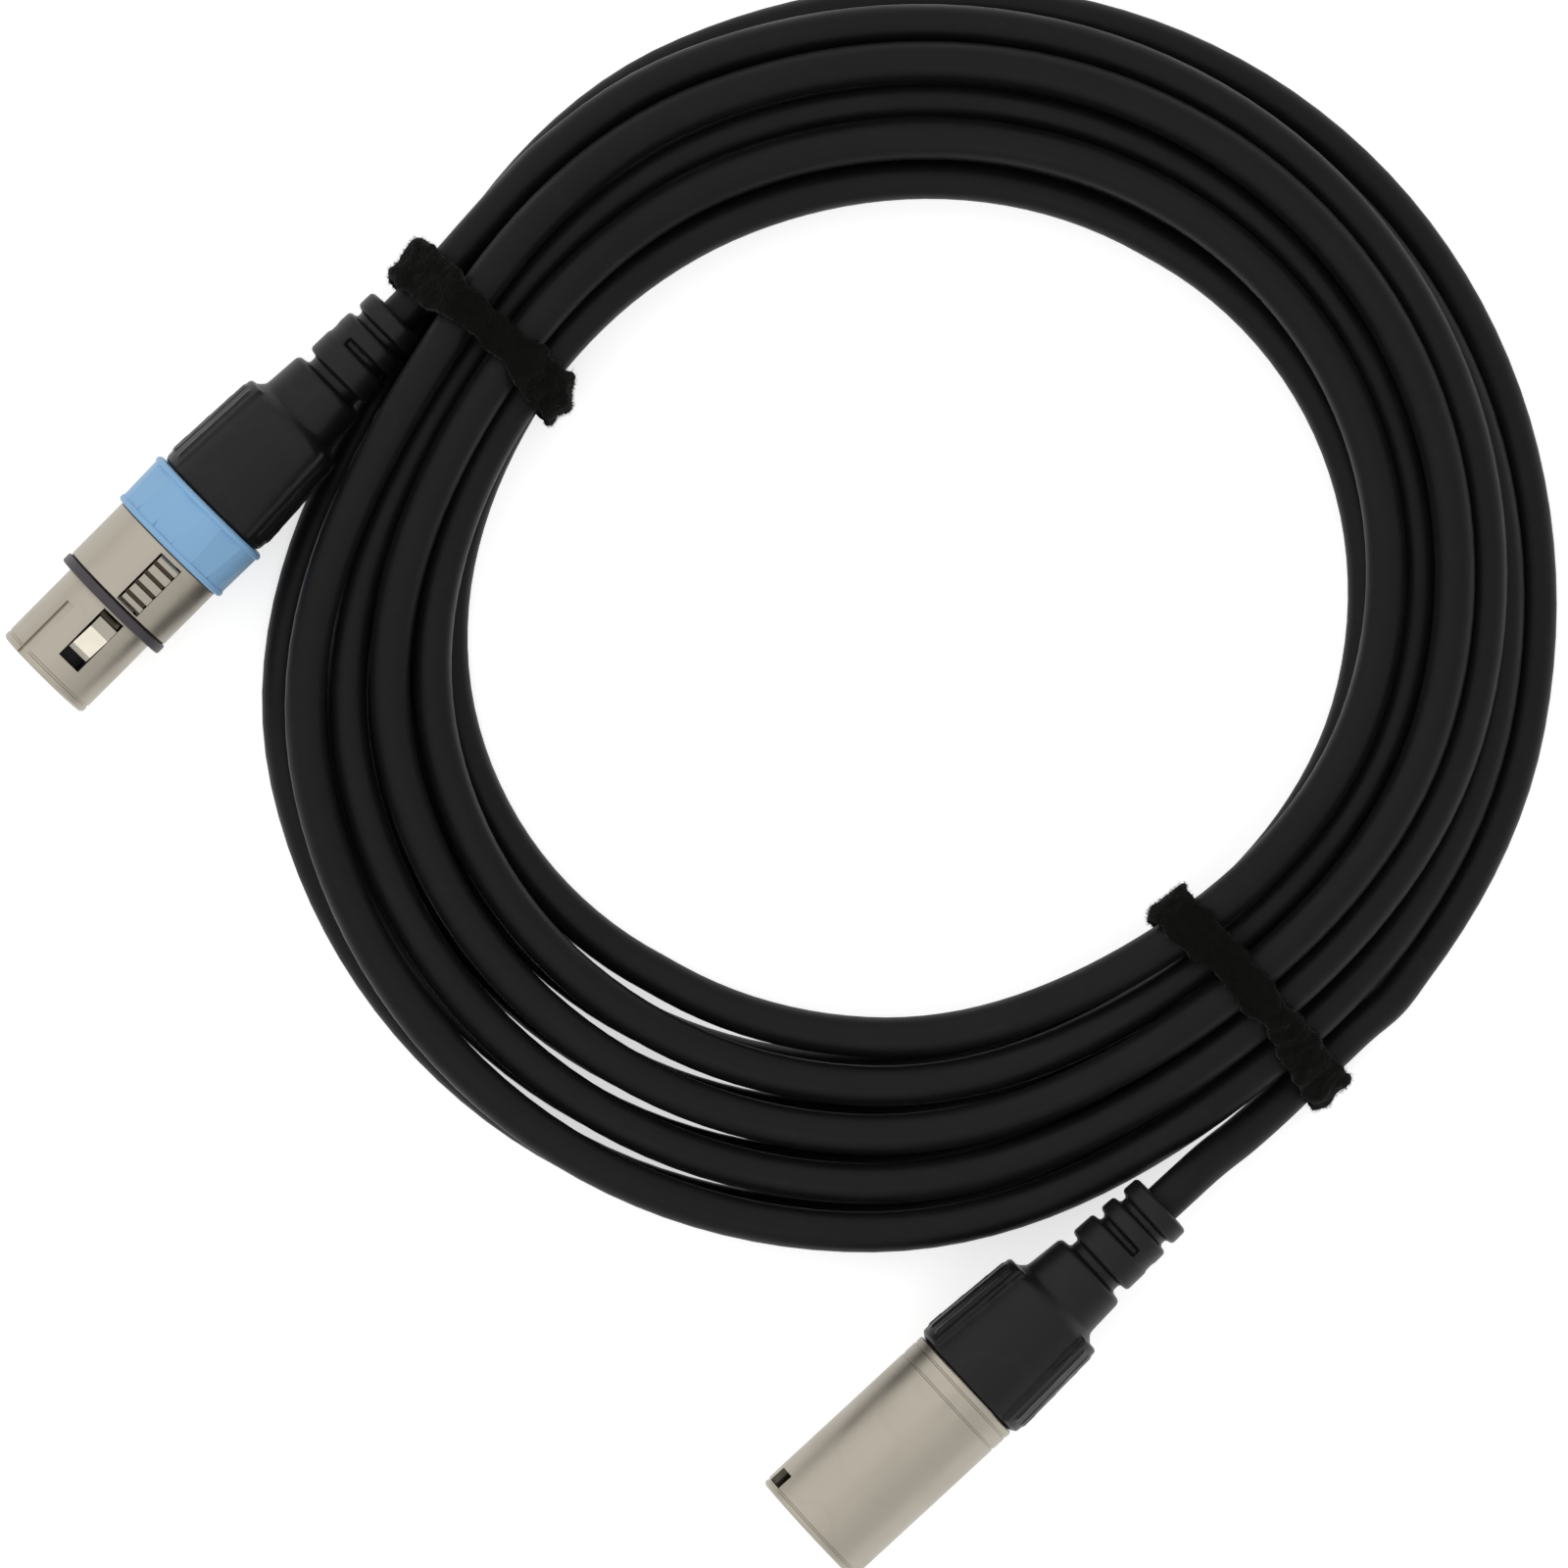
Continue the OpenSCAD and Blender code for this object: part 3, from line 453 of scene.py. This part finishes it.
def makeCable(s, route):
    curve = bpy.data.curves.new("cable", "CURVE")
    curve.dimensions = "3D"
    curve.bevel_depth = cableRadius * mm
    curve.bevel_resolution = s["ringSides"]
    curve.use_fill_caps = True
    spline = curve.splines.new("POLY")
    spline.points.add(len(route) - 1)
    for point, place in zip(spline.points, route):
        point.co = (*place, 1)
    spline.use_smooth = True
    piece = bpy.data.objects.new("cable", curve)
    bpy.context.scene.collection.objects.link(piece)
    curve.materials.append(finishes["jacket"])
    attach(piece, "root")
    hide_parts("cable_coil", "female_tail", "male_tail")
    return piece


cableRoute = makeRoute(cable)
routeLength = sum((b - a).length for a, b in zip(cableRoute, cableRoute[1:]))
cablePiece = makeCable(cable, cableRoute)
print("cable ready, %.3f m" % routeLength)
connectorExit("female") * mm


# Helpers for the boots and ties
def turnedSolid(bm, outline, steps):     # closed outline of (x, radius), spun about X
    verts = [bm.verts.new((x, 0, r)) for x, r in outline]
    edges = [bm.edges.new((a, b)) for a, b in zip(verts, verts[1:] + verts[:1])]
    bmesh.ops.spin(bm, geom=verts + edges, cent=(0, 0, 0), axis=(1, 0, 0), dvec=(0, 0, 0),
                   angle=2 * pi, steps=steps, use_merge=True, use_duplicate=False)
    bmesh.ops.remove_doubles(bm, verts=bm.verts, dist=1e-5)


def bar(bm, start, end, radius, sides=16):
    turn = (end - start).to_track_quat("Z", "Y").to_matrix().to_4x4()
    bmesh.ops.create_cone(bm, cap_ends=True, segments=sides, radius1=radius, radius2=radius,
                          depth=(end - start).length,
                          matrix=Matrix.Translation((start + end) / 2) @ turn)


def addPiece(name, bm, matrix, slot, *replaced):     # smooth, on the body that holds still
    bmesh.ops.transform(bm, matrix=matrix, verts=bm.verts)
    mesh = bpy.data.meshes.new(name)
    bm.to_mesh(mesh)
    bm.free()
    mesh.materials.append(finishes[slot])
    mesh.shade_smooth()
    piece = bpy.data.objects.new(name, mesh)
    bpy.context.scene.collection.objects.link(piece)
    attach(piece, "root")
    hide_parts(*replaced)


def remeshed(bm, voxel, smoothRounds):   # one moulded skin from several solids that overlap
    mesh = bpy.data.meshes.new("rough")
    bm.to_mesh(mesh)
    bm.free()
    rough = bpy.data.objects.new("rough", mesh)
    bpy.context.scene.collection.objects.link(rough)
    step = rough.modifiers.new("skin", "REMESH")
    step.mode = "VOXEL"
    step.voxel_size = voxel
    graph = bpy.context.evaluated_depsgraph_get()
    skin = bmesh.new()
    skin.from_object(rough, graph)
    bpy.data.objects.remove(rough)
    bpy.data.meshes.remove(mesh)
    for _ in range(smoothRounds):
        bmesh.ops.smooth_vert(skin, verts=skin.verts, factor=0.5, use_axis_x=True,
                              use_axis_y=True, use_axis_z=True)
    bmesh.ops.recalc_face_normals(skin, faces=skin.faces)
    return skin


# Boots: a moulded body with a ribbed finger pad on each side, and split collars behind.
# Lengths run back from the connector, in millimetres.
bootSettings = {
    "radius": 9.35, "neck": 16.9, "shoulder": 6.65, "shoulderEnd": 24.4, "core": 4.45,
    "socketRadius": 7.65, "socketLength": 7.05, "bore": 3.1, "clampRadius": 6.6, "clampEnd": 12.9,
    "padAngles": (90, -90), "padHalfAngle": 41, "padStart": 0.5,
    "padRadius": {"female": 9.5, "male": 9.95}, "padTaper": 0.75,
    "ribAngles": (-31, -15.5, 0, 15.5, 31), "ribRadius": 0.42, "ribDepth": 0.14,
    "ribStart": 2.0, "ribToNeck": 1.1,
    "collars": [(26.1, 30.3, 5.8), (31.4, 34.2, 5.6), (35.4, 38.45, 5.3)],    # start, end, radius
    "bridgeHalfAngle": 58, "bridgeAngle": {"female": -90, "male": 90},
    "bodySides": 128, "collarSides": 96, "segmentSteps": 24,
    "voxel": 0.235, "smoothRounds": 2,
}


def ringSegment(bm, outline, middleAngle, halfAngle, steps):     # part of a ring about X
    turn = Matrix.Rotation(radians(middleAngle - halfAngle), 4, "X")
    first = bm.faces.new([bm.verts.new(turn @ Vector((x, 0, r))) for x, r in outline])
    bmesh.ops.spin(bm, geom=[first, *first.edges, *first.verts], cent=(0, 0, 0), axis=(1, 0, 0),
                   dvec=(0, 0, 0), angle=radians(2 * halfAngle), steps=steps, use_duplicate=False)


def addBody(bm, s):         # outside from the open end back, then the bore and socket forwards
    r, neck, core, length = s["radius"], s["neck"], s["core"], bootLength
    shoulder, shoulderEnd = s["shoulder"], s["shoulderEnd"]
    outside = [
        (0.05, r - 0.3), (0.35, r), (2, r), (neck - 0.6, r - 1), (neck + 0.1, r - 1.5),
        (neck + 1.2, shoulder + 0.1), (neck + 2, shoulder), (shoulderEnd - 0.5, shoulder - 0.35),
        (shoulderEnd, shoulder - 0.75), (shoulderEnd + 0.2, core), (length - 0.6, core - 0.3),
        (length, core - 0.7)]
    inside = [
        (length, s["bore"]), (s["clampEnd"], s["bore"]), (s["clampEnd"], s["bore"] + 1.1),
        (s["socketLength"] + 0.5, s["clampRadius"]), (s["socketLength"], s["clampRadius"]),
        (s["socketLength"], s["socketRadius"]), (0.05, s["socketRadius"])]
    turnedSolid(bm, outside + inside, s["bodySides"])


def addCollars(bm, s, bridgeAngle):     # three rings, the first two joined by a bridge
    core = s["core"]
    for start, end, radius in s["collars"]:
        outline = [
            (start, core - 0.6), (start + 0.05, radius - 0.45), (start + 0.4, radius),
            (end - 0.4, radius - 0.08), (end - 0.05, radius - 0.5), (end, core - 0.6)]
        turnedSolid(bm, outline, s["collarSides"])
    (_, firstEnd, firstRadius), (secondStart, _, secondRadius) = s["collars"][:2]
    bridge = [
        (firstEnd - 0.6, core - 0.5), (firstEnd - 0.6, firstRadius - 0.25),
        (secondStart + 0.6, secondRadius - 0.15), (secondStart + 0.6, core - 0.5)]
    ringSegment(bm, bridge, bridgeAngle, s["bridgeHalfAngle"], s["segmentSteps"])


def addPads(bm, s, padRadius):
    r, neck, start, padEnd = s["radius"], s["neck"], s["padStart"], padRadius - s["padTaper"]
    pad = [(start, r - 1), (start, padRadius - 0.2), (start + 0.3, padRadius), (2.5, padRadius),
           (neck - 0.2, padEnd), (neck + 0.2, padEnd - 0.3), (neck + 0.2, r - 2)]
    ribStart = Vector((s["ribStart"], 0, padRadius - s["ribDepth"]))
    ribEnd = Vector((neck - s["ribToNeck"], 0, padEnd - s["ribDepth"]))
    for middle in s["padAngles"]:
        ringSegment(bm, pad, middle, s["padHalfAngle"], s["segmentSteps"])
        for angle in s["ribAngles"]:
            turn = Matrix.Rotation(radians(middle + angle), 3, "X")
            bar(bm, turn @ ribStart, turn @ ribEnd, s["ribRadius"])


def makeBoot(side, s):      # upright pads, whatever the connector's roll
    bm = bmesh.new()
    addBody(bm, s)
    addCollars(bm, s, s["bridgeAngle"][side])
    addPads(bm, s, s["padRadius"][side])
    skin = remeshed(bm, s["voxel"], s["smoothRounds"])
    place = (Matrix.Scale(mm, 4) @ Matrix.Translation(connectors[side]["tip"])
             @ connectorTurn(side, roll=0).to_matrix().to_4x4()
             @ Matrix.Translation((connectors[side]["back"], 0, 0)))
    addPiece(side + "Boot", skin, place, "boot_plastic", side + "_boot")


for side in connectors:
    makeBoot(side, bootSettings)
print("boots ready")


# Ties: a strap around the bundle, lapped on the outer side, with a fuzzy pile. Each is made in
# millimetres, with X outwards from the coil's middle and Y across the strap, then turned.
tieSettings = {
    "thickness": cable["tieThickness"], "seat": cable["seat"], "inset": 0.45, "halfAngle": 3.9,
    "strandPoints": 32, "outlinePoints": 220, "rowsAcross": 15,
    "endShare": 0.2,             # how much of the width counts as an end
    "lapAcross": (-2, 3), "lapHeights": (8, 13),     # where it rises, from the middle and upwards
    "edgeThinning": (0.35, 0.4),                     # everywhere, and more at the ends
    "edgePower": 4,              # how close to the edge it thins
    "edgeLumps": 0.8, "edgeScale": 0.35, "edgeSlices": (3, 40),      # of the noise, for each edge
    "lumps": 0.30, "lumpScale": 0.45, "lumpOctaves": (0.6, 2.0, 4),
    "fibres": 9000, "fibreLength": (0.3, 0.8), "fibreWidth": 0.055,
    "fibreSpread": 0.8, "fibreRoot": 0.1,            # off upright, and millimetres under the skin
    "fibreKnee": 0.55, "fibreReach": 0.8, "fibreBend": 0.35,         # shares of its length
    "seed": 11,
    "ties": {
        "upper": {
            "at": cable["upperTieAt"], "lean": 7.5, "lapRise": 0.7,
            "tails": [(83.81, 14.05), (82.71, 13.9)],    # radius and height of the free end
            "edges": [   # share of the way outwards, and the two edges there
                (0.0, -3.2, 4.1), (0.17, -3.1, 4.0), (0.34, -2.3, 2.9), (0.66, -2.3, 2.9),
                (0.82, -3.1, 4.4), (1.0, -3.2, 4.6)],
            "nibs": [    # outer end or not, place across, reach and width
                (False, 0.5, 1.5, 1.3), (False, 3.9, 0.9, 1.1), (True, 3.7, 0.8, 1.1),
                (True, -2.2, 0.5, 1.0)],
        },
        "lower": {
            "at": cable["lowerTieAt"], "lean": 0, "lapRise": 1.0,
            "tails": [(88.79, 5.99), (88.49, 4.9)],
            "edges": [
                (0.0, -2.6, 4.1), (0.16, -2.6, 4.1), (0.34, -1.2, 3.9), (0.66, -1.2, 3.9),
                (0.84, -2.7, 4.1), (1.0, -2.8, 4.1)],
            "nibs": [(True, -0.8, 0.5, 1.2), (True, 3.6, 0.5, 1.0), (False, -1.4, 0.4, 1.0)],
        },
    },
}


def turnsAt(a):             # radius and height of each turn of the coil at an angle
    out = []
    for k in range(ceil(cable["lastTurn"]) + 1):
        u = k + ((cable["turnsFrom"] - a) / 360 + 10) % 1
        if cable["firstTurn"] <= u <= cable["lastTurn"]:
            out.append((radiusAt(u), heightAt(u)))
    return out


def evenly(points, count):  # closed line resampled at even steps
    loop = points + points[:1]
    steps = [(b - a).length for a, b in zip(loop, loop[1:])]
    total, out, i, passed = sum(steps), [], 0, 0.0
    for k in range(count):
        want = total * k / count
        while passed + steps[i] < want:
            passed += steps[i]
            i += 1
        out.append(loop[i].lerp(loop[i + 1], (want - passed) / steps[i]))
    return out


def strapOutline(s, t):     # the strap's middle line around the bundle, and the bundle's middle
    turns = [turn for side in (-1, 0, 1) for turn in turnsAt(t["at"] + side * s["halfAngle"])]
    turns = turns + [(r - s["inset"], z) for r, z in turns] + t["tails"]
    grow = cableRadius + s["seat"] + s["thickness"] / 2
    count = s["strandPoints"]
    around = [2 * pi * k / count for k in range(count)]
    cloud = [Vector((r + grow * cos(a), z + grow * sin(a))) for r, z in turns for a in around]
    hull = [cloud[i] for i in geometry.convex_hull_2d(cloud)]
    radii = [r for r, _ in turns]
    return evenly(hull, s["outlinePoints"]), (max(radii) + min(radii)) / 2


def outwardNormals(line):
    pairs = list(zip(line[-1:] + line[:-1], line, line[1:] + line[:1]))
    alongs = [(after - before).normalized() for before, _, after in pairs]
    area = sum(before.x * p.y - p.x * before.y for before, p, _ in pairs)
    sense = 1 if area >= 0 else -1
    return [sense * Vector((along.y, -along.x)) for along in alongs]


def edgesAt(edges, share):  # the strap's two edges at a share of the way outwards
    for (a, low0, high0), (b, low1, high1) in zip(edges, edges[1:]):
        if share <= b:
            f = ramp(share, a, b)
            return low0 + (low1 - low0) * f, high0 + (high1 - high0) * f
    return edges[-1][1:]


def endsAt(share, width):   # 1 at the inner and at the outer end of the strap, 0 between them
    return ramp(share, width, 0), ramp(share, 1 - width, 1)


def strapRings(s, t):       # rings of points round the strap's own section
    line, middle = strapOutline(s, t)
    low, high = min(p.x for p in line), max(p.x for p in line)
    rows, half = s["rowsAcross"], s["thickness"] / 2
    thin, thinAtEnds = s["edgeThinning"]
    rings = []
    for p, normal in zip(line, outwardNormals(line)):
        share = (p.x - low) / (high - low)
        innerEnd, outerEnd = endsAt(share, s["endShare"])
        edges = [edge + noise.noise(Vector((p.x, p.y, at)) * s["edgeScale"]) * s["edgeLumps"]
                 for edge, at in zip(edgesAt(t["edges"], share), s["edgeSlices"])]
        lap = ramp(p.x, *(middle + x for x in s["lapAcross"])) * ramp(p.y, *s["lapHeights"])
        thinning = thin + thinAtEnds * (innerEnd + outerEnd)
        ring = []
        for outer, steps in ((True, range(rows)), (False, reversed(range(rows)))):
            for k in steps:
                f = k / (rows - 1)
                across = edges[0] + (edges[1] - edges[0]) * f
                edge = 1 - thinning * abs(2 * f - 1) ** s["edgePower"]
                out = (half + t["lapRise"] * lap) * edge if outer else -half * edge
                q = p + normal * out
                nib = sum((outerEnd if atOuter else -innerEnd) * reach
                          * exp(-((across - place) / width) ** 2)
                          for atOuter, place, reach, width in t["nibs"])
                ring.append((q.x + nib, across, q.y))
        rings.append(ring)
    return rings, middle


def addStrap(bm, s, rings):
    around = [[bm.verts.new(point) for point in ring] for ring in rings]
    for a, b in zip(around, around[1:] + around[:1]):
        for k in range(len(a)):
            j = (k + 1) % len(a)
            bm.faces.new((a[k], a[j], b[j], b[k]))
    bmesh.ops.recalc_face_normals(bm, faces=bm.faces)
    bm.normal_update()
    shifts = [v.normal * (noise.fractal(v.co * s["lumpScale"], *s["lumpOctaves"]) * s["lumps"])
              for v in bm.verts]
    for v, shift in zip(bm.verts, shifts):
        v.co += shift
    bm.normal_update()


def anyWay(rng):
    return Vector((rng.uniform(-1, 1), rng.uniform(-1, 1), rng.uniform(-1, 1)))


def addPile(bm, s, rng):    # short flat fibres, bent once, spread evenly over the strap
    faces = list(bm.faces)
    weights = [f.calc_area() for f in faces]
    starts = []
    for face in rng.choices(faces, weights=weights, k=s["fibres"]):
        corners = [loop.vert.co for loop in face.loops]
        u, w = rng.random(), rng.random()
        place = corners[0].lerp(corners[1], u).lerp(corners[3].lerp(corners[2], u), w)
        starts.append((place, face.normal.copy()))
    for place, normal in starts:
        lean = anyWay(rng)
        direction = (normal + s["fibreSpread"] * lean).normalized()
        side = direction.cross(anyWay(rng)).normalized() * s["fibreWidth"] / 2
        length = rng.uniform(*s["fibreLength"])
        bend = lean.normalized() * length * s["fibreBend"]
        knee = place + direction * length * s["fibreKnee"]
        tip = place + direction * length * s["fibreReach"] + bend
        sink = normal * s["fibreRoot"]
        a, b, c, d, e = (bm.verts.new(corner) for corner in (
            place - side - sink, place + side - sink, knee + side, knee - side, tip))
        bm.faces.new((a, b, c, d))
        bm.faces.new((d, c, e))


def makeTie(which, s, t, rng):
    rings, middle = strapRings(s, t)
    bm = bmesh.new()
    addStrap(bm, s, rings)
    addPile(bm, s, rng)
    slant = -tan(radians(t["lean"]))
    for v in bm.verts:
        v.co.y += (v.co.x - middle) * slant
    place = Matrix.Scale(mm, 4) @ Matrix.Rotation(radians(t["at"]), 4, "Z")
    addPiece(which + "Tie", bm, place, "tie_fabric", which + "_tie")


tieRandom = random.Random(tieSettings["seed"])
for which, tie in tieSettings["ties"].items():
    makeTie(which, tieSettings, tie, tieRandom)
print("ties ready")


# Floor, world and lamps
light = {
    "floorSize": 4.0,
    "floorColour": (0.80, 0.80, 0.80),
    "floorGlow": 0.62,
    "worldStrength": 0.70,
    "lamps": [   # place, aimed at, size in metres, watts
        ((-0.15, 0.75, 0.95), (0, 0, 0.01), 1.9, 4.0),
        ((0.10, -0.40, 1.10), (0, 0, 0.01), 0.35, 0.16),
        ((-0.80, -0.52, 1.21), (-0.08, 0.08, 0.01), 0.45, 1.2),
    ],
}


def seenDirectly(tree):     # 1 for rays from the camera, and for reflections and glass
    path = addNode(tree, "LightPath")
    first = addNode(tree, "Math", operation="MAXIMUM")
    second = addNode(tree, "Math", operation="MAXIMUM")
    tree.links.new(path.outputs["Is Camera Ray"], first.inputs[0])
    tree.links.new(path.outputs["Is Glossy Ray"], first.inputs[1])
    tree.links.new(first.outputs[0], second.inputs[0])
    tree.links.new(path.outputs["Is Transmission Ray"], second.inputs[1])
    return second.outputs[0]


def makeFloor(s):
    mesh = bpy.data.meshes.new("floor")
    bm = bmesh.new()
    bmesh.ops.create_grid(bm, x_segments=1, y_segments=1, size=s["floorSize"] / 2)
    bm.to_mesh(mesh)
    bm.free()
    floor = bpy.data.objects.new("floor", mesh)
    bpy.context.scene.collection.objects.link(floor)
    material = bpy.data.materials.new("paleFloor")
    material.use_nodes = True
    tree = material.node_tree
    tree.nodes.clear()
    output = addNode(tree, "OutputMaterial")
    matt = addNode(tree, "BsdfDiffuse", {"Color": (*s["floorColour"], 1)})
    glow = addNode(tree, "Emission", {"Color": (1, 1, 1, 1)})
    strength = addNode(tree, "Math", {1: s["floorGlow"]}, operation="MULTIPLY")
    both = addNode(tree, "AddShader")
    tree.links.new(seenDirectly(tree), strength.inputs[0])
    tree.links.new(strength.outputs[0], glow.inputs["Strength"])
    tree.links.new(matt.outputs[0], both.inputs[0])
    tree.links.new(glow.outputs[0], both.inputs[1])
    tree.links.new(both.outputs[0], output.inputs["Surface"])
    mesh.materials.append(material)


def makeWorld(s):
    world = bpy.data.worlds.new("studio")
    world.use_nodes = True
    tree = world.node_tree
    tree.nodes.clear()
    output = addNode(tree, "OutputWorld")
    soft = addNode(tree, "Background", {"Color": (1, 1, 1, 1), "Strength": s["worldStrength"]})
    plain = addNode(tree, "Background", {"Color": (1, 1, 1, 1), "Strength": 1.0})
    pick = addNode(tree, "MixShader")
    tree.links.new(seenDirectly(tree), pick.inputs[0])
    tree.links.new(soft.outputs[0], pick.inputs[1])
    tree.links.new(plain.outputs[0], pick.inputs[2])
    tree.links.new(pick.outputs[0], output.inputs["Surface"])
    bpy.context.scene.world = world


def makeLamps(s):
    for i, (place, aim, size, watts) in enumerate(s["lamps"]):
        data = bpy.data.lights.new(f"softbox{i + 1}", "AREA")
        data.shape = "SQUARE"
        data.size = size
        data.energy = watts
        lamp = bpy.data.objects.new(data.name, data)
        lamp.location = place
        lamp.rotation_euler = (Vector(aim) - Vector(place)).to_track_quat("-Z", "Y").to_euler()
        bpy.context.scene.collection.objects.link(lamp)


makeFloor(light)
makeWorld(light)
makeLamps(light)
bpy.context.scene.view_settings.view_transform = "Standard"
print("studio ready")
